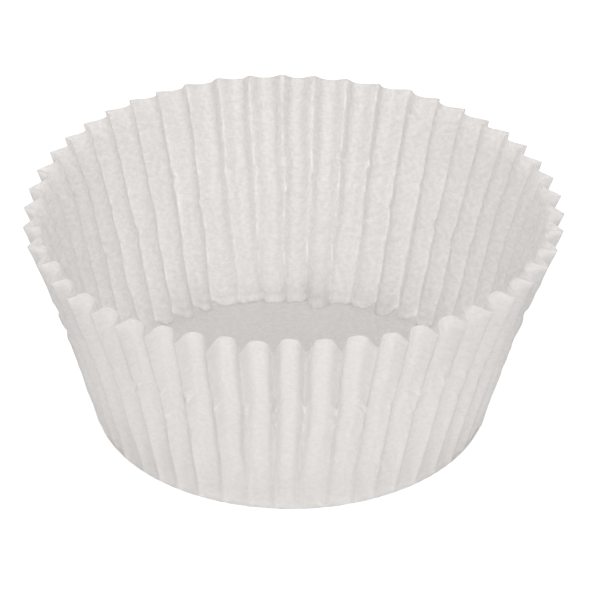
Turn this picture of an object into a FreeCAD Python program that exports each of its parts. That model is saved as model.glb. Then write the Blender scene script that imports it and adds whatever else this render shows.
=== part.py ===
import FreeCAD, Part
import os
from math import atan, atan2, cos, pi, radians, sin, tan

# A cupcake liner: one disc of thin baking paper, pressed into a cup with a flat floor
# and a wall of round flutes. The sharp crests between the flutes point outwards, and
# each flute bulges inwards. Millimetres, +Z up, origin at the middle of the underside.

# Driving sizes
BASE_DIAMETER = 50.0        # across the foot, where the crests would meet the table
RIM_DIAMETER = 68.2         # across the crests at the rim
CREST_HEIGHT = 28.5         # from the table to the crests at the rim
FOOT_LEAN = 15.4            # degrees that the wall leans out at its foot, before it flares
PAPER = 0.1                 # thickness of the paper
FOLD_RADIUS = 0.8           # of the pressed fold between floor and wall, made as a bevel
FLUTES = 50                 # flutes round the wall
RIM_FLUTE_DEPTH = 2.25      # depth of a flute at the rim
WAIST_FLUTE_DEPTH = 1.6     # depth that a flute aims for at mid-height
FOOT_FLUTE_DEPTH = 0.4      # depth of a flute just above the fold
FIRST_CREST = 5.8           # degrees from +X to the first crest

# Where the strips of one flute meet, as shares of the way from crest to crest
STRIP_EDGES = (0.0, 0.15, 0.35, 0.65, 0.85, 1.0)

# Angles and places that follow
LEAN = radians(FOOT_LEAN)
PITCH = 2 * pi / FLUTES
FLOOR_RADIUS = BASE_DIAMETER / 2 - FOLD_RADIUS * (1 - sin(LEAN)) / cos(LEAN)
FOOT_RADIUS = FLOOR_RADIUS + FOLD_RADIUS * cos(LEAN)
FOOT_HEIGHT = FOLD_RADIUS * (1 - sin(LEAN))


def crest_rows():
    """Radius, height, lean and flute depth at the floor's edge and up the wall.

    The wall's rows are its foot, its waist and its rim. The waist lies on the straight
    line that the foot starts, and the wall bends outwards above it.
    """
    waist_height = (FOOT_HEIGHT + CREST_HEIGHT) / 2
    waist_radius = FOOT_RADIUS + (waist_height - FOOT_HEIGHT) * tan(LEAN)
    rim_radius = RIM_DIAMETER / 2
    rim_lean = atan2(rim_radius - waist_radius, CREST_HEIGHT - waist_height)
    floor_edge = (FLOOR_RADIUS, 0.0, pi / 2, 0.0)
    foot = (FOOT_RADIUS, FOOT_HEIGHT, LEAN, FOOT_FLUTE_DEPTH)
    waist = (waist_radius, waist_height, (LEAN + rim_lean) / 2, WAIST_FLUTE_DEPTH)
    rim = (rim_radius, CREST_HEIGHT, rim_lean, RIM_FLUTE_DEPTH)
    return floor_edge, foot, waist, rim


def flute_point(row, share, inset):
    """A point of one flute, at its share of the way across, inset from the outer side.

    The flute is a parabola. The inset is measured square to the paper, so where two
    flutes meet in a crest it grows to the mitre of their slopes.
    """
    radius, height, lean, depth = row
    half_width = radius * sin(PITCH / 2)
    mitre = inset / cos(atan(2 * depth / half_width))
    roundness = 4 * share * (1 - share)
    inwards = mitre + roundness * (depth + inset - mitre)
    reach = radius - inwards * cos(lean)
    angle = (share - 0.5) * PITCH
    return FreeCAD.Vector(reach * cos(angle), reach * sin(angle), height + inwards * sin(lean))


def strip(start_points, *more_points):
    """A smooth strip of paper whose rows of control points are pairs."""
    rows = (start_points,) + more_points
    surface = Part.BezierSurface()
    surface.increase(len(rows) - 1, 1)
    for u, row in enumerate(rows, 1):
        for v, point in enumerate(row, 1):
            surface.setPole(u, v, point)
    return surface.toShape()


def flute_strips():
    """All the strips of one flute: fold and wall on both sides, and the cut edge."""
    floor_edge, foot, waist, rim = crest_rows()
    strips = []
    for left, right in zip(STRIP_EDGES, STRIP_EDGES[1:]):
        rim_pairs = []
        for inset in (0.0, PAPER):
            edge, start, middle, end = [
                (flute_point(row, left, inset), flute_point(row, right, inset))
                for row in (floor_edge, foot, waist, rim)]
            strips.append(strip(edge, start))
            strips.append(strip(start, middle, end))
            rim_pairs.append(end)
        strips.append(strip(*rim_pairs))
    return strips


def round_the_wall(shape):
    """One copy of a shape for each flute."""
    copies = []
    for count in range(FLUTES):
        copy = shape.copy()
        angle = FIRST_CREST + (count + 0.5) * 360 / FLUTES
        copy.rotate(FreeCAD.Vector(0, 0, 0), FreeCAD.Vector(0, 0, 1), angle)
        copies.append(copy)
    return copies


def floor_side(inset):
    """One side of the flat floor, up to the fold."""
    floor_edge = crest_rows()[0]
    across = [flute_point(floor_edge, share, inset) for share in STRIP_EDGES]
    edges = []
    for start, end in zip(across, across[1:]):
        edges.extend(round_the_wall(Part.LineSegment(start, end).toShape()))
    return Part.Face(Part.Wire(Part.__sortEdges__(edges)))


def pressed_liner():
    """The whole cup as one solid sheet."""
    faces = [floor_side(0.0), floor_side(PAPER)]
    for piece in flute_strips():
        faces.extend(round_the_wall(piece))
    skin = Part.Compound(faces)
    skin.sewShape()
    solid = Part.Solid(skin.Shells[0])
    if solid.Volume < 0:
        solid.reverse()
    return solid


os.makedirs("parts", exist_ok=True)
liner = pressed_liner()
liner.exportStep("parts/liner.step")
print("liner", liner.ShapeType, liner.isValid(), round(liner.Volume, 1), liner.BoundBox)
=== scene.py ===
from math import cos, pi, radians, sin, tan
from types import SimpleNamespace

import bmesh
import bpy
import numpy as np
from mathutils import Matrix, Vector


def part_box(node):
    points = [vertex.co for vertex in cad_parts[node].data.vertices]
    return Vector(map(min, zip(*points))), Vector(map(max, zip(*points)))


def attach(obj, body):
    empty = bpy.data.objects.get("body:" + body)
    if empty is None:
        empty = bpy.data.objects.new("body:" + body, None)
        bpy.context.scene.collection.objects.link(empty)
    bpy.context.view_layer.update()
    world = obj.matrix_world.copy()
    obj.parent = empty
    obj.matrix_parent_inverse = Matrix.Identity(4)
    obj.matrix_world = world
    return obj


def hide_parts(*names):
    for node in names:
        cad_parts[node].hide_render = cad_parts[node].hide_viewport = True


# A white cupcake liner: a disc of thin greaseproof paper pressed into a fluted cup.
# Metres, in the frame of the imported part: +Z up, origin under the middle of the floor.

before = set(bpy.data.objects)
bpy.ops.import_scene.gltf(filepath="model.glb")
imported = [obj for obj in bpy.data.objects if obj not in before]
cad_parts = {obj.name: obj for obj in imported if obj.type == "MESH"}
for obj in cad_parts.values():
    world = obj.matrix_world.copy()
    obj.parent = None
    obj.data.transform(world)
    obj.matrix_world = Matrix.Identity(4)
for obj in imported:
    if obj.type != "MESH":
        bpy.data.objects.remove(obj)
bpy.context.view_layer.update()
MM = 0.001

# The cup's form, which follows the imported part
low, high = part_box("liner")
RIM_RADIUS = (high.x - low.x) / 2
BASE_RADIUS = 25.1 * MM
CREST_HEIGHT = 28.5 * MM
FOOT_LEAN = radians(15.4)
FOLD_RADIUS = 0.8 * MM
FLUTES = 50
FIRST_CREST = radians(5.8)
RIM_DEPTH = 2.25 * MM
DEEPENING = 0.62            # power by which the flutes deepen up the slope
PAPER = 0.08 * MM
DISC_RADIUS = 55 * MM       # of the flat sheet before it is pressed

# The rim stands a little out of round: millimetres at the rim, as sums of waves round the cup
# (even part, then cosine and sine of once, twice and three times the angle)
RIM_TURN = (0.163, 0.008, -0.597, -0.182, 0.064, 0.096, -0.072)
RIM_SPREAD = (-0.014, 0.321, 0.038, 0.050, -0.084, 0.030, -0.157)
RIM_RISE = (0.029, 0.070, -0.002, -0.077, -0.308, 0.039, 0.247)

# The mesh: steps across one flute, rows of the fold and the wall, and rings of the floor
STEPS = 14
COLUMNS = FLUTES * STEPS
FOLD_ROWS = 3
WALL_ROWS = 54
FLOOR_RINGS = (0.35, 0.5, 0.8, 1.3, 2.4, 4.4, 6.5)      # millimetres from ring to ring
CRESTWARD = 0.55            # how strongly the steps crowd towards the crests
TINY = 0.001 * MM           # what counts as the same height

# The section of one flute, in shares of its width
FLANK = 0.24                # width of each flank
STEEPER_FRONT = 0.09        # taken off that width at the very front
CORNER = 6.0                # how sharply the flanks turn into the flute's flat back
ROUNDER_FRONT = 2.6         # taken off that sharpness at the very front
CREST_ROUND = 0.07          # width over which each crest is rounded
DEPTH_TO_WIDTH = 0.47       # of a whole flute, for the length of its paper

# How crests and flutes stray from their even places, in millimetres
PRESS_SEED = 12
CREST_STRAY = 0.09          # sideways, all the way up a crest
CREST_SWAY = 0.06           # sideways, in slow bends
CREST_KINKS = 0.09          # sideways, in short kinks, fainter near the rim
SLOW_WAVES = 0.05           # outwards, in slow bends
SHORT_WAVES = 0.03          # outwards, in short ones, fainter near the rim
CREST_LIFT = 0.06           # up, at the rim
UNEVEN_DEPTH = 0.04         # share of a flute's depth
LOPSIDED = 0.04             # share of a flute's width by which its back leans aside
SLOW_KNOTS = 6              # bends up one crest
DEPTH_KNOTS = 7
KINK_KNOTS = 13
WAVE_KNOTS = 20
RUFFLES = ((0.034, 130, 22), (0.016, 260, 44))      # height, and waves round and up the wall

# The toes of the flutes, which stand in over the floor at the back, in millimetres
FRONT_TOE = 0.25
BACK_TOE = 1.75
TOE_STRAY = 0.3
SHORTEST_TOE = 1.0
LONGEST_TOE = 2.4
TOE_FADE = 3.0 * MM         # how fast the toes fade up the wall
TOE_DROP = 0.65             # share of a toe by which it hangs lower
LEAST_TOE_HEIGHT = 0.30 * MM
LONG_TOES = {3: 0.7, 7: 1.0, 10: 1.3, 11: 0.6, 16: 0.5, 20: 0.7}    # more, in a point, by flute
TOE_POINT = 1.3             # how narrow those points are
# Crests whose foot is pressed in with the toes, and by what share of the toe
SOFT_CRESTS = (3, 9, 10, 11, 12, 13, 14, 19, 22, 28, 35, 41, 46)
SOFT_CREST_SHARE = 0.85

# Under a toe the sheet folds back over the floor's edge: a lower row and a higher one
FULL_TUCK = 0.8 * MM        # length of toe from which the fold is wholly tucked
LOW_TUCK = 0.25 * MM        # how far the lower row lies inside the foot
LOW_TUCK_HEIGHT = 0.13 * MM
HIGH_TUCK_SHARE = 0.38      # of the toe, how far the higher row lies inside the foot
HIGH_TUCK_HEIGHT = 0.26 * MM

# The floor crumples a little along its edge
CRUMPLE_START = 0.80        # share of the floor's radius
CRUMPLE_WIDTH = 0.20
CRUMPLE_HEIGHT = 0.09 * MM
CRUMPLES = ((1.0, 75, 5), (0.7, 160, 8))            # share, and waves round and along

# Nicks in two rough rings, where the stack of cups was pressed. For each ring: its place and
# scatter as shares of the slope, then in millimetres how far it pushes the crests inwards,
# how far it kinks them sideways, and the dent beside them
NICK_RINGS = ((0.61, 0.022, 0.18, 0.26, 0.15), (0.46, 0.04, 0.10, 0.18, 0.10))
NICK_REACH = 0.5 * MM       # along a crest
NICK_ARCH = 0.9             # millimetres that a nick rises towards the middle of its flute
DENT_PLACE = 0.3            # millimetres above the nick's line
DENT_SPREAD = 0.6
DEEPER_FRONT = 0.9          # share by which the dents are deeper at the very front
ARCH_LEAST = 0.10           # share of a dent that crosses the flute's back at least
ARCH_MORE = 0.55

# Colours of the paper
THIN_PULP = (0.785, 0.769, 0.757)
THICK_PULP = (0.825, 0.810, 0.799)
# Painted light: the outer side is painted paler than the inside, since less light reaches it
OUTER_SIDE_LIGHT = (0.94, 0.925, 0.912)
# Painted light: the outer flanks near the crests, paler to lift their shade
OUTER_FLANK_LIGHT = (0.99, 0.978, 0.968)
OUTER_LIGHT_SHARE = 0.95          # how far the outer side takes its painted paler colour
FIBRE = (0.88, 0.869, 0.863)
# Inside the crest valleys: painted shade, and whitening that is partly real crease whitening and partly
# painted light through the fold
CREASE_SHADE = (0.72, 0.705, 0.69)
WHITENED_LIT_CREASE = (0.97, 0.965, 0.955)
# Painted shade: a dark line along the outer crests and a darker band towards the foot
CREST_AND_FOOT_SHADE = (0.50, 0.48, 0.465)
# Painted shade on the floor
FLOOR_SHADE = (0.765, 0.763, 0.747)
# Painted highlight along the toes' pressed edge
TOE_HIGHLIGHT = (0.97, 0.96, 0.95)
# Painted highlights on the raised crinkles, and painted shade in their hollows
CRINKLE_HIGHLIGHT = (0.93, 0.92, 0.91)
CRINKLE_SHADE = (0.62, 0.605, 0.59)
# Nick marks, whitened partly as pressed fibres and partly as painted highlight
NICK_WHITENING_AND_HIGHLIGHT = (0.99, 0.985, 0.98)
DENSE_GLOW = (0.89, 0.877, 0.868)
CLEAR_GLOW = (0.97, 0.958, 0.950)
# Painted highlight at the nicks in the light the paper lets through
NICK_GLOW_HIGHLIGHT = (1.0, 0.995, 0.99)
DARK_EDGE = (0.80, 0.785, 0.772)
PALE_EDGE = (0.90, 0.888, 0.875)
LIGHT_THROUGH = 0.52        # share of the light that the paper lets through
TOE_HIGHLIGHT_PLACE = 1.35       # millimetres up the sheet from the floor's edge
UNROLLED_RADIUS = 40        # millimetres, of the drum on which wall patterns are laid out
FAR = 9                     # millimetres, for points that a mark doesn't reach

# Soft lamps that face the cup: name, place, width and height in metres, and watts
LAMPS = (
    ("low_front_lamp", (0.0, -0.920, 0.390), 2.2, 0.4, 3.2),
    ("high_front_lamp", (0.0, -0.743, 0.669), 0.5, 0.5, 2.1),
    ("ceiling_lamp", (0.0, -0.174, 0.985), 0.8, 0.8, 1.1),
    ("back_lamp", (0.0, 0.766, 0.643), 0.8, 0.5, 5.15),
)
SURROUND = 0.245            # strength of the surround's light
TABLE = (0.60, 0.60, 0.60, 1)
SEEN_TABLE = (0.40, 0.40, 0.40, 1)
TABLE_GLOW = 0.85

# The camera: a long lens, looking down on the cup from the front
SENSOR = 36
LENS = 334.5
EYE = (0.0, -0.59755, 0.39897)
AIM = (0.001176, 0.0, 0.015194)

# Angles and places that follow
PITCH = 2 * pi / FLUTES
FLOOR_RADIUS = BASE_RADIUS - FOLD_RADIUS * (1 - sin(FOOT_LEAN)) / cos(FOOT_LEAN)
FOOT_RADIUS = FLOOR_RADIUS + FOLD_RADIUS * cos(FOOT_LEAN)
FOOT_HEIGHT = FOLD_RADIUS * (1 - sin(FOOT_LEAN))
FOLD_LENGTH = FOLD_RADIUS * (pi / 2 - FOOT_LEAN)


def crest_profile(share):
    """Radius, height and lean of the crest line at a share of the way up the wall."""
    rise = CREST_HEIGHT - FOOT_HEIGHT
    straight = rise * tan(FOOT_LEAN)
    flare = RIM_RADIUS - FOOT_RADIUS - straight
    radius = FOOT_RADIUS + straight * share + flare * share ** 3
    height = FOOT_HEIGHT + rise * share
    lean = np.arctan2(straight + 3 * flare * share ** 2, rise)
    return radius, height, lean


def slope_length(share):
    """Length of the wall from the fold to a share of its height."""
    shares = np.linspace(0, 1, 201)
    radius, height, _ = crest_profile(shares)
    steps = np.hypot(np.diff(radius), np.diff(height))
    return np.interp(share, shares, np.concatenate([[0], np.cumsum(steps)]))


def bulge_of(across, flank=FLANK, corner=CORNER):
    """Depth of a flute at a share of the way from crest to crest, 1 in its middle."""
    aside = np.clip(0.5 - np.abs(across - 0.5), 0, 0.5)
    slope = (np.hypot(aside, CREST_ROUND) - CREST_ROUND) / flank
    whole_slope = (np.hypot(0.5, CREST_ROUND) - CREST_ROUND) / flank
    whole = whole_slope / (1 + whole_slope ** corner) ** (1 / corner)
    return slope / (1 + slope ** corner) ** (1 / corner) / whole


def paper_across(across):
    """Share of the flute's paper that lies before a share of the way across it."""
    shares = np.linspace(0, 1, 401)
    length = np.hypot(np.diff(shares), DEPTH_TO_WIDTH * np.diff(bulge_of(shares)))
    total = np.concatenate([[0], np.cumsum(length)])
    return np.interp(across, shares, total / total[-1])


def out_of_round(waves, angle):
    """Sum of the waves round the cup, in metres."""
    total = waves[0] + np.zeros_like(angle)
    for turn in (1, 2, 3):
        total += waves[2 * turn - 1] * np.cos(turn * angle) + waves[2 * turn] * np.sin(turn * angle)
    return total * MM


def select_only(part):
    """Leave one object selected and active."""
    bpy.ops.object.select_all(action="DESELECT")
    part.select_set(True)
    bpy.context.view_layer.objects.active = part


def plain_cup():
    """The unpressed cup: a loop extruded up through the fold and wall, and an inset floor."""
    bpy.ops.object.select_all(action="DESELECT")
    bpy.ops.mesh.primitive_circle_add(vertices=COLUMNS, radius=FLOOR_RADIUS, fill_type="NOTHING")
    cup = bpy.context.object
    cup.name = "pressed_paper_liner"
    rings = [(FLOOR_RADIUS, 0.0)]
    for row in range(1, FOLD_ROWS + 1):
        turn = (pi / 2 - FOOT_LEAN) * row / FOLD_ROWS
        rings.append((FLOOR_RADIUS + FOLD_RADIUS * sin(turn), FOLD_RADIUS * (1 - cos(turn))))
    for row in range(1, WALL_ROWS + 1):
        radius, height, _ = crest_profile(row / WALL_ROWS)
        rings.append((radius, height))
    bpy.ops.object.mode_set(mode="EDIT")
    bpy.ops.mesh.select_all(action="SELECT")
    for (radius, height), (wider, higher) in zip(rings, rings[1:]):
        bpy.ops.mesh.extrude_region_move(TRANSFORM_OT_translate={"value": (0, 0, higher - height)})
        bpy.ops.transform.resize(value=(wider / radius, wider / radius, 1))
    bpy.ops.mesh.select_all(action="DESELECT")
    sheet = bmesh.from_edit_mesh(cup.data)
    for edge in sheet.edges:
        on_table = all(abs(vert.co.z) < TINY for vert in edge.verts)
        if on_table:
            edge.select_set(True)
    bmesh.update_edit_mesh(cup.data)
    bpy.ops.mesh.edge_face_add()
    for step in FLOOR_RINGS:
        bpy.ops.mesh.inset(thickness=step * MM)
    bpy.ops.mesh.poke()
    bpy.ops.mesh.select_all(action="SELECT")
    bpy.ops.mesh.normals_make_consistent(inside=False)
    bpy.ops.object.mode_set(mode="OBJECT")
    return cup


def wandering(random, knots, places):
    """One random line with kinks for each flute, of unit size, read at the given places 0 to 1."""
    values = random.normal(size=(FLUTES, knots))
    position = places * (knots - 1)
    start = np.clip(position.astype(int), 0, knots - 2)
    share = position - start
    return values[:, start] * (1 - share) + values[:, start + 1] * share


def grid_noise(random, around, up, columns, rows):
    """Smooth noise of unit size over the wall, closed round the cup."""
    values = random.normal(size=(columns, rows))
    x = around * columns
    y = up * (rows - 1)
    x0 = np.floor(x).astype(int)
    y0 = np.clip(np.floor(y).astype(int), 0, rows - 2)
    ex = x - x0
    ey = y - y0
    ex = ex * ex * (3 - 2 * ex)
    ey = ey * ey * (3 - 2 * ey)
    left = x0 % columns
    right = (x0 + 1) % columns
    lower = values[left, y0] * (1 - ex) + values[right, y0] * ex
    upper = values[left, y0 + 1] * (1 - ex) + values[right, y0 + 1] * ex
    return lower * (1 - ey) + upper * ey


def points_of(mesh):
    """Places of a mesh's points, one row for each."""
    places = np.empty(len(mesh.vertices) * 3)
    mesh.vertices.foreach_get("co", places)
    return places.reshape(-1, 3)


def sorted_points(places):
    """For each point of the plain cup: its flute, its place in it, and its part of the sheet."""
    spot = SimpleNamespace()
    spot.radius = np.hypot(places[:, 0], places[:, 1])
    spot.height = places[:, 2]
    around = np.arctan2(places[:, 1], places[:, 0]) / (2 * pi)
    column = np.rint(around * COLUMNS).astype(int) % COLUMNS
    spot.around = column / COLUMNS
    spot.flute = column // STEPS
    spot.after = (spot.flute + 1) % FLUTES
    step = (column % STEPS) / STEPS
    spot.across = step - CRESTWARD * np.sin(2 * pi * step) / (2 * pi)
    spot.crest_angle = FIRST_CREST + (spot.flute + spot.across) * PITCH
    spot.on_wall = spot.height > FOOT_HEIGHT - TINY
    spot.in_fold = (spot.height > TINY) & ~spot.on_wall
    spot.on_floor = ~spot.on_wall & ~spot.in_fold
    spot.share = np.clip((spot.height - FOOT_HEIGHT) / (CREST_HEIGHT - FOOT_HEIGHT), 0, 1)
    spot.row = np.rint(spot.share * WALL_ROWS).astype(int)
    spot.up_wall = slope_length(spot.share)
    fold_turn = np.arccos(np.clip(1 - spot.height / FOLD_RADIUS, -1, 1))
    spot.up_fold = np.clip(fold_turn / (pi / 2 - FOOT_LEAN), 0, 1)
    return spot


def uneven_press(random):
    """What differs from flute to flute, with one row for each and one column for each height."""
    press = SimpleNamespace()
    shares = np.arange(WALL_ROWS + 1) / WALL_ROWS
    slope = slope_length(shares)
    lower = 0.35 + 0.65 * np.clip(1.2 - shares, 0, 1)
    astray = CREST_STRAY * MM * random.normal(size=(FLUTES, 1)) * np.ones_like(shares)
    astray = astray + CREST_SWAY * MM * wandering(random, SLOW_KNOTS, shares)
    astray = astray + CREST_KINKS * MM * wandering(random, KINK_KNOTS, shares) * lower
    outwards = SLOW_WAVES * MM * wandering(random, SLOW_KNOTS, shares)
    outwards = outwards + SHORT_WAVES * MM * wandering(random, WAVE_KNOTS, shares) * lower
    press.raised = CREST_LIFT * MM * random.normal(size=(FLUTES, 1)) * shares ** 2
    press.deeper = 1 + UNEVEN_DEPTH * random.normal(size=(FLUTES, 1))
    press.deeper = press.deeper + UNEVEN_DEPTH * wandering(random, DEPTH_KNOTS, shares)
    press.lopsided = LOPSIDED * wandering(random, SLOW_KNOTS, shares)

    # The toes: backward is 1 for the flute at the very back and 0 for the one in front
    press.backward = 0.5 + 0.5 * np.sin(FIRST_CREST + (np.arange(FLUTES) + 0.5) * PITCH)
    back_toe = np.clip(BACK_TOE + TOE_STRAY * random.normal(size=FLUTES), SHORTEST_TOE, LONGEST_TOE)
    press.toe = (FRONT_TOE + press.backward ** 2 * back_toe) * MM
    press.pointed = np.zeros(FLUTES)
    for number, more in LONG_TOES.items():
        press.pointed[number] = more * MM
    press.arched = random.uniform(0, 1, size=FLUTES) ** 3
    press.crest_toe = np.zeros(FLUTES)
    soft = list(SOFT_CRESTS)
    press.crest_toe[soft] = SOFT_CREST_SHARE * press.toe[soft]

    # The nicks kink every crest and push it in
    press.rings = []
    for middle, spread, push, kink, _ in NICK_RINGS:
        centre = slope[-1] * (middle + spread * random.normal(size=(FLUTES, 1)))
        bell = np.exp(-((slope - centre) / NICK_REACH) ** 2)
        astray = astray + kink * MM * random.normal(size=(FLUTES, 1)) * bell
        outwards = outwards - push * MM * random.uniform(0.3, 1, size=(FLUTES, 1)) * bell
        press.rings.append(centre * np.ones_like(shares))
    press.astray = astray
    press.outwards = outwards
    return press


def between_crests(spot, table):
    """A table of crests, blended across each flute from its crest to the next."""
    before = table[spot.flute, spot.row] * (1 - spot.across)
    return before + table[spot.after, spot.row] * spot.across


def pressed_wall(spot, press, random):
    """Angle, radius and height of the wall's points, and the toes and nicks that they lie in."""
    across = spot.across
    base_radius, base_height, lean = crest_profile(spot.share)
    sideways = between_crests(spot, press.astray) + out_of_round(RIM_TURN, spot.crest_angle) * spot.share
    spread_out = out_of_round(RIM_SPREAD, spot.crest_angle) * spot.share
    lift = between_crests(spot, press.raised) + out_of_round(RIM_RISE, spot.crest_angle) * spot.share

    # The flute's section, and its toe at the foot
    frontward = 1 - press.backward[spot.flute]
    flank = FLANK - STEEPER_FRONT * frontward ** 2
    corner = CORNER - ROUNDER_FRONT * frontward ** 2
    roundly = bulge_of(across, flank, corner)
    leaning = across + press.lopsided[spot.flute, spot.row] * 4 * across * (1 - across)
    pushed_in = press.toe[spot.flute] * roundly
    pushed_in = pushed_in + press.pointed[spot.flute] * (4 * across * (1 - across)) ** TOE_POINT
    crest_toe = press.crest_toe[spot.flute] * (1 - across) + press.crest_toe[spot.after] * across
    pushed_in = pushed_in + crest_toe * (1 - roundly ** 2)
    up_toe = np.exp(-spot.up_wall / TOE_FADE)
    depth = RIM_DEPTH * spot.share ** DEEPENING * press.deeper[spot.flute, spot.row]
    inwards = depth * bulge_of(leaning, flank, corner) + pushed_in * up_toe
    inwards = inwards - between_crests(spot, press.outwards)

    # Nicks and ruffles
    nick_heights = []
    for ring, (_, _, _, _, dent) in zip(press.rings, NICK_RINGS):
        above = (spot.up_wall - between_crests(spot, ring)) / MM - NICK_ARCH * roundly
        nick_heights.append(above)
        arch = np.maximum(1 - roundly, ARCH_LEAST + ARCH_MORE * press.arched[spot.flute])
        pressed = dent * (1 + DEEPER_FRONT * frontward) * MM
        inwards = inwards + pressed * np.exp(-((above - DENT_PLACE) / DENT_SPREAD) ** 2) * arch
    ruffled = 0
    for height, waves_round, waves_up in RUFFLES:
        waves = grid_noise(random, spot.around, spot.share, waves_round, waves_up)
        ruffled = ruffled + height * MM * waves
    inwards = inwards + ruffled * np.clip(spot.share / 0.05, 0, 1)

    angle = spot.crest_angle + sideways / base_radius
    radius = base_radius + spread_out - inwards * np.cos(lean)
    height = base_height + lift + inwards * np.sin(lean)
    room = FOOT_HEIGHT + sin(FOOT_LEAN) * pushed_in - LEAST_TOE_HEIGHT
    drop = np.minimum(TOE_DROP * pushed_in, room)
    height = height - np.clip(drop, 0, None) * up_toe
    return angle, radius, height, pushed_in, nick_heights


def pressed_fold(spot, press, pushed_in):
    """Angle, radius and height of the fold's points, tucked under the toes."""
    stray = press.astray[spot.flute, 0] * (1 - spot.across) + press.astray[spot.after, 0] * spot.across
    angle = spot.crest_angle + stray / FOOT_RADIUS
    folded = np.clip(pushed_in / FULL_TUCK, 0, 1)
    higher_row = spot.up_fold > 0.5
    tucked_radius = np.where(higher_row, FOOT_RADIUS - HIGH_TUCK_SHARE * pushed_in, FOOT_RADIUS - LOW_TUCK)
    tucked_height = np.where(higher_row, HIGH_TUCK_HEIGHT, LOW_TUCK_HEIGHT)
    radius = spot.radius + (tucked_radius - spot.radius) * folded
    height = spot.height + (tucked_height - spot.height) * folded
    return angle, radius, height


def pressed_floor(spot, foot_angle, random):
    """Angle and height of the floor's points, crumpled a little along its edge."""
    to_edge = np.clip(spot.radius / FLOOR_RADIUS, 0, 1)
    near_edge = np.clip((to_edge - CRUMPLE_START) / CRUMPLE_WIDTH, 0, 1)
    crumple = 0
    for size, waves_round, waves_along in CRUMPLES:
        crumple = crumple + size * grid_noise(random, spot.around, 1 - near_edge, waves_round, waves_along)
    height = CRUMPLE_HEIGHT * np.abs(crumple) * near_edge * (1 - near_edge) * 4
    even_angle = FIRST_CREST + spot.around * 2 * pi
    angle = even_angle + (foot_angle - even_angle) * to_edge ** 8
    return angle, height


def press_flutes(cup):
    """Press the plain cup into uneven paper flutes, and mark its crests and nicks."""
    mesh = cup.data
    places = points_of(mesh)
    spot = sorted_points(places)
    random = np.random.default_rng(PRESS_SEED)
    press = uneven_press(random)
    wall_angle, wall_radius, wall_height, pushed_in, nick_heights = pressed_wall(spot, press, random)
    fold_angle, fold_radius, fold_height = pressed_fold(spot, press, pushed_in)
    floor_angle, floor_height = pressed_floor(spot, fold_angle, random)
    angle = np.where(spot.on_wall, wall_angle, np.where(spot.in_fold, fold_angle, floor_angle))
    radius = np.where(spot.on_wall, wall_radius, np.where(spot.in_fold, fold_radius, spot.radius))
    height = np.where(spot.on_wall, wall_height, np.where(spot.in_fold, fold_height, floor_height))
    places[:, 0] = radius * np.cos(angle)
    places[:, 1] = radius * np.sin(angle)
    places[:, 2] = height
    mesh.vertices.foreach_set("co", places.ravel())
    mesh.update()

    # Where each point lies on the flat sheet, and in millimetres from its crest and nicks
    up_fold = FLOOR_RADIUS + spot.up_fold * FOLD_LENGTH
    up_wall = FLOOR_RADIUS + FOLD_LENGTH + spot.up_wall
    reach = np.where(spot.on_floor, spot.radius, np.where(spot.in_fold, up_fold, up_wall))
    paper_share = paper_across(spot.across)
    turn = (spot.flute + paper_share) * PITCH
    lay_flat(mesh, reach, turn)
    from_crest = np.minimum(paper_share, 1 - paper_share) * PITCH * reach / MM
    keep_on_points(mesh, "from_crest", np.where(spot.on_floor, FAR, from_crest))
    drum_x = UNROLLED_RADIUS * np.cos(turn)
    drum_y = UNROLLED_RADIUS * np.sin(turn)
    keep_on_points(mesh, "unrolled", np.stack([drum_x, drum_y, (reach - FLOOR_RADIUS) / MM], 1))
    for number, above in enumerate(nick_heights, 1):
        keep_on_points(mesh, "above_nick_%d" % number, np.where(spot.on_wall, above, -FAR))


def keep_on_points(mesh, name, values):
    """Keep a number or a place for each point of the mesh, for the material to read."""
    if values.ndim == 1:
        layer = mesh.attributes.new(name, "FLOAT", "POINT")
        layer.data.foreach_set("value", values.astype(np.float32))
    else:
        layer = mesh.attributes.new(name, "FLOAT_VECTOR", "POINT")
        layer.data.foreach_set("vector", values.astype(np.float32).ravel())


def lay_flat(mesh, reach, turn):
    """Map of the flat sheet, 0 to 1 across the disc."""
    sheet_map = mesh.uv_layers.new(name="sheet")
    corners = np.empty(len(mesh.loops), dtype=np.int64)
    mesh.loops.foreach_get("vertex_index", corners)
    x = 0.5 + reach * np.cos(turn) / (2 * DISC_RADIUS)
    y = 0.5 + reach * np.sin(turn) / (2 * DISC_RADIUS)
    sheet_map.data.foreach_set("uv", np.stack([x[corners], y[corners]], 1).ravel().astype(np.float32))


def thicken(cup):
    """Give the sheet its thickness inwards, with the cut edge in its own material."""
    outside = len(cup.data.vertices)
    select_only(cup)
    wall = cup.modifiers.new("paper", "SOLIDIFY")
    wall.thickness = PAPER
    wall.offset = -1
    wall.material_offset_rim = 1
    bpy.ops.object.modifier_apply(modifier=wall.name)
    inner_side = np.arange(len(cup.data.vertices)) >= outside
    keep_on_points(cup.data, "inner_side", inner_side.astype(float))
    bpy.ops.object.shade_smooth_by_angle(angle=radians(80))


def node_at(tree, kind, x, y, **inputs):
    """A shader node with its sockets set by name."""
    node = tree.nodes.new(kind)
    node.location = (x, y)
    for name, value in inputs.items():
        node.inputs[name.replace("_", " ")].default_value = value
    return node


def kept_number(tree, name, x, y):
    """The number that the mesh keeps under a name."""
    node = tree.nodes.new("ShaderNodeAttribute")
    node.attribute_name = name
    node.location = (x, y)
    return node.outputs["Fac"]


def ranged(tree, value, x, y, low_in, high_in, low_out=0.0, high_out=1.0):
    """A value eased from one range to another."""
    node = node_at(tree, "ShaderNodeMapRange", x, y, From_Min=low_in, From_Max=high_in,
                   To_Min=low_out, To_Max=high_out)
    node.interpolation_type = "SMOOTHSTEP"
    tree.links.new(value, node.inputs["Value"])
    return node.outputs["Result"]


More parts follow.
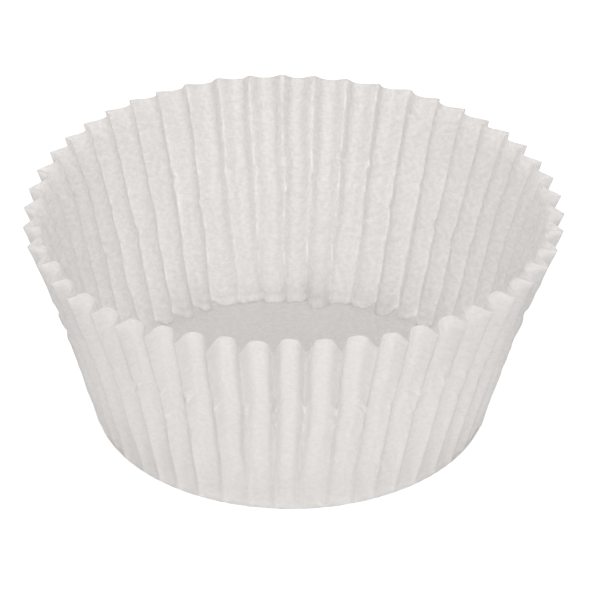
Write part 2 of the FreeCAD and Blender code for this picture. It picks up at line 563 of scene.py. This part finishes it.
def worked_out(tree, operation, first, second, x, y):
    """The result of a sum on two values, which are sockets or plain numbers."""
    node = tree.nodes.new("ShaderNodeMath")
    node.operation = operation
    node.location = (x, y)
    for socket, value in zip(node.inputs, (first, second)):
        if isinstance(value, (int, float)):
            socket.default_value = value
        else:
            tree.links.new(value, socket)
    return node.outputs[0]


def blended(tree, mask, first, second, x, y):
    """Two colours, sockets or plain ones, blended by a mask."""
    node = tree.nodes.new("ShaderNodeMix")
    node.data_type = "RGBA"
    node.location = (x, y)
    tree.links.new(mask, node.inputs[0])
    for socket, colour in ((node.inputs[6], first), (node.inputs[7], second)):
        if isinstance(colour, tuple):
            socket.default_value = (*colour, 1)
        else:
            tree.links.new(colour, socket)
    return node.outputs[2]


def noise_on(tree, place, x, y, **inputs):
    """Smooth noise on a place."""
    noise = node_at(tree, "ShaderNodeTexNoise", x, y, **inputs)
    tree.links.new(place, noise.inputs["Vector"])
    return noise.outputs["Fac"]


def stretched(tree, place, x, y, **inputs):
    """A place turned or stretched, so that a pattern on it lies another way."""
    lie = node_at(tree, "ShaderNodeMapping", x, y, **inputs)
    tree.links.new(place, lie.inputs["Vector"])
    return lie.outputs["Vector"]


def bumped(tree, height, distance, strength, before, x, y):
    """A bump laid over an earlier one."""
    node = node_at(tree, "ShaderNodeBump", x, y, Strength=strength, Distance=distance)
    tree.links.new(height, node.inputs["Height"])
    if before is not None:
        tree.links.new(before, node.inputs["Normal"])
    return node.outputs["Normal"]


def paper_grain():
    """Node group: the cloudy formation and short fibres of greaseproof paper."""
    group = bpy.data.node_groups.new("paper_grain", "ShaderNodeTree")
    group.interface.new_socket("Sheet", in_out="INPUT", socket_type="NodeSocketVector")
    size = group.interface.new_socket("Cloud Size", in_out="INPUT", socket_type="NodeSocketFloat")
    size.default_value = 1.0
    group.interface.new_socket("Clouds", in_out="OUTPUT", socket_type="NodeSocketFloat")
    group.interface.new_socket("Fibres", in_out="OUTPUT", socket_type="NodeSocketFloat")
    start = group.nodes.new("NodeGroupInput")
    end = group.nodes.new("NodeGroupOutput")
    sheet = start.outputs["Sheet"]
    frequency = worked_out(group, "DIVIDE", 1.0, start.outputs["Cloud Size"], 0, -100)
    clouds = node_at(group, "ShaderNodeTexNoise", 200, 0, Detail=4.0, Roughness=0.65)
    group.links.new(sheet, clouds.inputs["Vector"])
    group.links.new(frequency, clouds.inputs["Scale"])
    group.links.new(clouds.outputs["Fac"], end.inputs["Clouds"])
    strands = None
    for turn, y in ((0.35, -300), (-0.6, -600), (1.35, -900)):
        lie = stretched(group, sheet, 200, y, Rotation=(0, 0, turn), Scale=(1.1, 5.5, 1))
        streaks = noise_on(group, lie, 400, y, Scale=1.0, Detail=1.5, Roughness=0.5)
        if strands is None:
            strands = streaks
        else:
            strands = worked_out(group, "MAXIMUM", strands, streaks, 600, y)
    group.links.new(strands, end.inputs["Fibres"])
    return group


def grain_on(tree, grain, sheet, cloud_size, x, y):
    """The paper's grain laid on the sheet: its clouds and its fibres."""
    texture = node_at(tree, "ShaderNodeGroup", x, y)
    texture.node_tree = grain
    texture.inputs["Cloud Size"].default_value = cloud_size
    tree.links.new(sheet, texture.inputs["Sheet"])
    return texture.outputs["Clouds"], texture.outputs["Fibres"]


def sheet_in_millimetres(tree, x, y):
    """The flat sheet's map, scaled so that one unit is a millimetre."""
    chart = node_at(tree, "ShaderNodeUVMap", x, y)
    chart.uv_map = "sheet"
    size = 2 * DISC_RADIUS / MM
    return stretched(tree, chart.outputs["UV"], x + 200, y, Scale=(size, size, 1))


def nick_marks(tree, number, wobble, y):
    """One ring of nicks: the dent from its lip to its run-out, and the line on which it lies, whitened
    partly as pressed fibres and partly as painted highlight.
    """
    above = worked_out(tree, "ADD", kept_number(tree, "above_nick_%d" % number, -1600, y), wobble, -1400, y)
    lip = ranged(tree, above, -1000, y, -0.15, 0.15)
    run_out = ranged(tree, above, -1000, y + 150, 0.15, 1.8, 1.0, 0.0)
    from_line = worked_out(tree, "ABSOLUTE", above, 0.0, -1000, y - 150)
    dent = worked_out(tree, "MULTIPLY", lip, run_out, -800, y)
    # Mask of the nick's mark, whitened partly as pressed fibres and partly as painted highlight
    line = ranged(tree, from_line, -800, y - 150, 0.14, 0.46, 1.0, 0.0)
    return dent, line


def nicks(tree, sheet, patches, from_crest, inner_side):
    """Both rings of nicks beside the crests: masks of their dents and of their marks, whitened partly as
    pressed fibres and partly as painted highlight.
    """
    wavering = noise_on(tree, sheet, -2000, -700, Scale=1.1, Detail=1.0)
    wobble = ranged(tree, wavering, -1800, -700, 0.2, 0.8, -0.5, 0.5)
    crestward = ranged(tree, from_crest, -1400, -500, 0.25, 1.2, 1.0, 0.0)
    fainter_inside = ranged(tree, inner_side, -400, -1250, 0.0, 1.0, 1.0, 0.3)
    first_dent, first_whitening_and_highlight = nick_marks(tree, 1, wobble, -900)
    second_dent, second_whitening_and_highlight = nick_marks(tree, 2, wobble, -1200)
    second_dent = worked_out(tree, "MULTIPLY", second_dent, patches, -600, -1200)
    second_whitening_and_highlight = worked_out(tree, "MULTIPLY", second_whitening_and_highlight, patches, -600, -1350)
    dents = worked_out(tree, "MAXIMUM", first_dent, second_dent, -400, -900)
    nick_whitening_and_highlights = worked_out(tree, "MAXIMUM", first_whitening_and_highlight, second_whitening_and_highlight, -400, -1050)
    dents = worked_out(tree, "MULTIPLY", dents, crestward, -200, -900)
    nick_whitening_and_highlights = worked_out(tree, "MULTIPLY", nick_whitening_and_highlights, crestward, -200, -1050)
    nick_whitening_and_highlights = worked_out(tree, "MULTIPLY", nick_whitening_and_highlights, fainter_inside, -100, -1150)
    return dents, nick_whitening_and_highlights


def pulp_colour(tree, cloudy, fibres, from_crest, outer_side):
    """Clouds of thicker and thinner pulp with paler fibres, an outer side painted paler as painted light,
    and outer flanks near the crests painted paler still, as painted light that lifts their shade.
    """
    body = blended(tree, cloudy, THIN_PULP, THICK_PULP, -800, 200)
    # Painted light: the outer side painted paler than the inside
    outer = worked_out(tree, "MULTIPLY", outer_side, OUTER_LIGHT_SHARE, -900, 300)
    body = blended(tree, outer, body, OUTER_SIDE_LIGHT, -700, 300)
    # Painted light lifting the shade of the outer flanks near the crests
    flank_light = ranged(tree, from_crest, -1200, 300, 0.3, 1.3, 1.0, 0.0)
    flank_light = worked_out(tree, "MULTIPLY", flank_light, outer_side, -1000, 300)
    body = blended(tree, flank_light, body, OUTER_FLANK_LIGHT, -650, 300)
    strands = ranged(tree, fibres, -1000, 0, 0.62, 0.74, 0.0, 0.35)
    return blended(tree, strands, body, FIBRE, -600, 200)


def crest_colour(tree, body, patches, from_crest, up_sheet, inner_side, outer_side):
    """Inside, crest valleys in patches of painted shade and of whitening that is partly real and partly
    painted light through the fold; outside, painted shade along the crests and towards the foot.
    """
    # Inside the crest valleys: patches of painted shade, and of whitening that is partly real and partly
    # painted light shining through the fold
    crease_light_and_shade = ranged(tree, from_crest, -1200, 700, 0.06, 0.26, 1.0, 0.0)
    crease_light_and_shade = worked_out(tree, "MULTIPLY", crease_light_and_shade, inner_side, -1000, 700)
    crease_shade_to_light = blended(tree, patches, CREASE_SHADE, WHITENED_LIT_CREASE, -800, 600)
    body = blended(tree, crease_light_and_shade, body, crease_shade_to_light, -400, 200)
    # Painted shade outside: a thin dark line along each crest and a darker band towards the foot
    crest_shade = ranged(tree, from_crest, -1200, 1200, 0.04, 0.17, 0.28, 0.0)
    foot_shade = ranged(tree, up_sheet, -1200, 1400, 2.5, 10.0, 0.15, 0.0)
    painted_shade = worked_out(tree, "MAXIMUM", crest_shade, foot_shade, -1000, 1000)
    painted_shade = worked_out(tree, "MULTIPLY", painted_shade, outer_side, -800, 1000)
    return blended(tree, painted_shade, body, CREST_AND_FOOT_SHADE, -200, 200)


def foot_colour(tree, body, up_sheet, inner_side):
    """Painted shade on the floor, and a painted highlight along the toes' pressed edge where the wall
    leaves it.
    """
    # Painted highlight along the toes' pressed edge, where the wall leaves the floor
    from_toe = worked_out(tree, "SUBTRACT", up_sheet, TOE_HIGHLIGHT_PLACE, -1400, 1600)
    from_toe = worked_out(tree, "ABSOLUTE", from_toe, 0.0, -1200, 1600)
    pressed_edge_highlight = ranged(tree, from_toe, -1000, 1600, 0.15, 0.60, 0.85, 0.0)
    pressed_edge_highlight = worked_out(tree, "MULTIPLY", pressed_edge_highlight, inner_side, -800, 1600)
    # Painted shade: the floor darkened
    shaded_floor = ranged(tree, up_sheet, -1200, 1800, -0.6, 0.4, 0.85, 0.0)
    body = blended(tree, shaded_floor, body, FLOOR_SHADE, -160, 400)
    return blended(tree, pressed_edge_highlight, body, TOE_HIGHLIGHT, -150, 200)


def dash_colour(tree, body, dash_noise, inner_side):
    """Short dashes round the wall, most of them on the crinkled inner side: painted highlights on the
    raised crinkles and painted shade in their hollows.
    """
    # Painted highlights on the raised crinkles and painted shade in their hollows
    dashes = ranged(tree, dash_noise, -1400, -1900, 0.62, 0.70, 0.0, 0.7)
    shaded_hollows = ranged(tree, dash_noise, -1400, -2100, 0.30, 0.38, 0.25, 0.0)
    crinkled = ranged(tree, inner_side, -1200, -1900, 0.0, 1.0, 0.3, 1.0)
    dashes = worked_out(tree, "MULTIPLY", dashes, crinkled, -1000, -1900)
    body = blended(tree, dashes, body, CRINKLE_HIGHLIGHT, -100, 200)
    return blended(tree, shaded_hollows, body, CRINKLE_SHADE, -50, 200)


def paper_relief(tree, unrolled, clouds, fibres, dash_noise, inner_side):
    """Ripples that run round the wall, clouds, fibres and dashes, all fainter on the outer side."""
    lie = stretched(tree, unrolled, -1800, -1600, Scale=(0.75, 0.75, 2.6))
    ripples = noise_on(tree, lie, -1600, -1600, Scale=1.0, Detail=3.0, Roughness=0.55)
    ripples = ranged(tree, ripples, -1400, -1600, 0.42, 0.62)
    inner_ripples = ranged(tree, inner_side, -1400, -1800, 0.0, 1.0, 0.35, 1.0)
    ripples = worked_out(tree, "MULTIPLY", ripples, inner_ripples, -1200, -1600)
    relief = bumped(tree, ripples, 0.035 * MM, 0.7, None, -600, -1600)
    rough = ranged(tree, inner_side, -1400, -2300, 0.0, 1.0, 0.4, 1.0)
    for height, distance, x in ((clouds, 0.06, -200), (fibres, 0.04, 0), (dash_noise, 0.10, 100)):
        raised = worked_out(tree, "MULTIPLY", height, rough, x, -1400)
        relief = bumped(tree, raised, distance * MM, 0.55, relief, x, -1600)
    return relief


def greaseproof_paper(grain):
    """Matt white baking paper: cloudy, faintly waxy, with painted light and shade on its crests, flanks,
    nicks, crinkles, toes and floor, and it lets light through.
    """
    material = bpy.data.materials.new("greaseproof_paper")
    material.use_nodes = True
    tree = material.node_tree
    tree.nodes.clear()
    link = tree.links.new
    sheet = sheet_in_millimetres(tree, -2200, 0)
    clouds, fibres = grain_on(tree, grain, sheet, 0.6, -1700, 0)
    cloudy = ranged(tree, clouds, -1000, 200, 0.36, 0.64)
    inner_side = kept_number(tree, "inner_side", -1600, 900)
    outer_side = worked_out(tree, "SUBTRACT", 1.0, inner_side, -1400, 900)
    from_crest = kept_number(tree, "from_crest", -1600, 700)
    drum = tree.nodes.new("ShaderNodeAttribute")
    drum.attribute_name = "unrolled"
    drum.location = (-2000, -1600)
    unrolled = drum.outputs["Vector"]
    split = node_at(tree, "ShaderNodeSeparateXYZ", -1600, -1300)
    link(unrolled, split.inputs["Vector"])
    up_sheet = split.outputs["Z"]
    patchy = noise_on(tree, sheet, -1600, 500, Scale=0.30, Detail=3.0)
    patches = ranged(tree, patchy, -1400, 500, 0.45, 0.64, 0.0, 0.9)
    dash_lie = stretched(tree, unrolled, -1800, -1900, Scale=(1.1, 1.1, 4.6))
    dash_noise = noise_on(tree, dash_lie, -1600, -1900, Scale=1.0, Detail=1.0)
    dents, nick_whitening_and_highlights = nicks(tree, sheet, patches, from_crest, inner_side)

    body = pulp_colour(tree, cloudy, fibres, from_crest, outer_side)
    body = crest_colour(tree, body, patches, from_crest, up_sheet, inner_side, outer_side)
    body = foot_colour(tree, body, up_sheet, inner_side)
    body = dash_colour(tree, body, dash_noise, inner_side)
    # The nick marks whitened: partly pressed fibres, partly painted highlight
    body = blended(tree, nick_whitening_and_highlights, body, NICK_WHITENING_AND_HIGHLIGHT, 0, 200)
    relief = paper_relief(tree, unrolled, clouds, fibres, dash_noise, inner_side)
    undented = worked_out(tree, "SUBTRACT", 1.0, dents, -600, -1400)
    nicked = bumped(tree, undented, 0.12 * MM, 0.6, relief, 200, -1600)
    glow = blended(tree, cloudy, DENSE_GLOW, CLEAR_GLOW, 0, -400)
    # Painted highlight at the nicks in the light the paper lets through
    glow = blended(tree, nick_whitening_and_highlights, glow, NICK_GLOW_HIGHLIGHT, 150, -400)

    surface = node_at(tree, "ShaderNodeBsdfPrincipled", 300, 0)
    link(body, surface.inputs["Base Color"])
    link(ranged(tree, clouds, 0, -200, 0.35, 0.65, 0.46, 0.64), surface.inputs["Roughness"])
    link(nicked, surface.inputs["Normal"])
    through = node_at(tree, "ShaderNodeBsdfTranslucent", 300, -400)
    link(glow, through.inputs["Color"])
    link(relief, through.inputs["Normal"])
    paper = node_at(tree, "ShaderNodeMixShader", 600, 0, Fac=LIGHT_THROUGH)
    link(surface.outputs["BSDF"], paper.inputs[1])
    link(through.outputs["BSDF"], paper.inputs[2])
    out = node_at(tree, "ShaderNodeOutputMaterial", 800, 0)
    link(paper.outputs["Shader"], out.inputs["Surface"])
    return material


def cut_edge(grain):
    """The cut edge of the paper at the rim: as pale as its faces, and rougher."""
    material = bpy.data.materials.new("cut_paper_edge")
    material.use_nodes = True
    tree = material.node_tree
    surface = tree.nodes["Principled BSDF"]
    sheet = sheet_in_millimetres(tree, -1100, 0)
    clouds, _ = grain_on(tree, grain, sheet, 0.5, -600, 0)
    tree.links.new(blended(tree, clouds, DARK_EDGE, PALE_EDGE, -300, 100), surface.inputs["Base Color"])
    surface.inputs["Roughness"].default_value = 0.9
    return material


def white_where_seen(tree):
    """1 for rays from the camera and for those that gloss or clear parts send on."""
    rays = tree.nodes.new("ShaderNodeLightPath")
    seen = worked_out(tree, "MAXIMUM", rays.outputs["Is Camera Ray"], rays.outputs["Is Glossy Ray"], 0, 300)
    return worked_out(tree, "MAXIMUM", seen, rays.outputs["Is Transmission Ray"], 200, 300)


def studio_stage():
    """A pale floor that keeps the shadow, and is white to the camera."""
    bpy.ops.object.select_all(action="DESELECT")
    bpy.ops.mesh.primitive_plane_add(size=4, location=(0, 0, -0.02 * MM))
    floor = bpy.context.object
    floor.name = "studio_floor"
    material = bpy.data.materials.new("white_table")
    material.use_nodes = True
    tree = material.node_tree
    tree.nodes.clear()
    link = tree.links.new
    seen = white_where_seen(tree)
    plain = node_at(tree, "ShaderNodeBsdfDiffuse", 0, 0, Color=TABLE)
    shaded = node_at(tree, "ShaderNodeBsdfDiffuse", 0, -200, Color=SEEN_TABLE)
    glow = node_at(tree, "ShaderNodeEmission", 0, -400, Strength=TABLE_GLOW)
    both = node_at(tree, "ShaderNodeAddShader", 200, -300)
    link(shaded.outputs["BSDF"], both.inputs[0])
    link(glow.outputs["Emission"], both.inputs[1])
    choice = node_at(tree, "ShaderNodeMixShader", 400, 0)
    link(seen, choice.inputs["Fac"])
    link(plain.outputs["BSDF"], choice.inputs[1])
    link(both.outputs["Shader"], choice.inputs[2])
    out = tree.nodes.new("ShaderNodeOutputMaterial")
    link(choice.outputs["Shader"], out.inputs["Surface"])
    floor.data.materials.append(material)


def turned_to(place, target):
    """The turn with which a lamp or camera at a place faces a target."""
    towards = Vector(target) - Vector(place)
    return towards.to_track_quat("-Z", "Y").to_euler()


def studio_light():
    """A white surround, and flat soft lamps in front of, above and behind the cup."""
    world = bpy.data.worlds.new("white_surround")
    bpy.context.scene.world = world
    world.use_nodes = True
    tree = world.node_tree
    tree.nodes.clear()
    link = tree.links.new
    seen = white_where_seen(tree)
    around = node_at(tree, "ShaderNodeBackground", 0, 0, Color=(1, 1, 1, 1), Strength=SURROUND)
    backdrop = node_at(tree, "ShaderNodeBackground", 0, -200, Color=(1, 1, 1, 1), Strength=1.0)
    choice = node_at(tree, "ShaderNodeMixShader", 200, 0)
    link(seen, choice.inputs["Fac"])
    link(around.outputs["Background"], choice.inputs[1])
    link(backdrop.outputs["Background"], choice.inputs[2])
    out = tree.nodes.new("ShaderNodeOutputWorld")
    link(choice.outputs["Shader"], out.inputs["Surface"])
    for name, place, width, height, power in LAMPS:
        data = bpy.data.lights.new(name, "AREA")
        data.shape = "RECTANGLE"
        data.size = width
        data.size_y = height
        data.energy = power
        lamp = bpy.data.objects.new(name, data)
        bpy.context.scene.collection.objects.link(lamp)
        lamp.location = place
        lamp.rotation_euler = turned_to(place, (0, 0, CREST_HEIGHT / 2))


def camera():
    """The camera, at the photograph's angle."""
    data = bpy.data.cameras.new("camera")
    data.sensor_width = SENSOR
    data.lens = LENS
    data.clip_start = 0.01
    data.clip_end = 20
    eye = bpy.data.objects.new("camera", data)
    bpy.context.scene.collection.objects.link(eye)
    eye.location = EYE
    eye.rotation_euler = turned_to(EYE, AIM)
    bpy.context.scene.camera = eye


liner = plain_cup()
press_flutes(liner)
grain_group = paper_grain()
liner.data.materials.append(greaseproof_paper(grain_group))
liner.data.materials.append(cut_edge(grain_group))
thicken(liner)
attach(liner, "root")
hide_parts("liner")

studio_stage()
studio_light()
camera()
bpy.context.scene.view_settings.view_transform = "Standard"
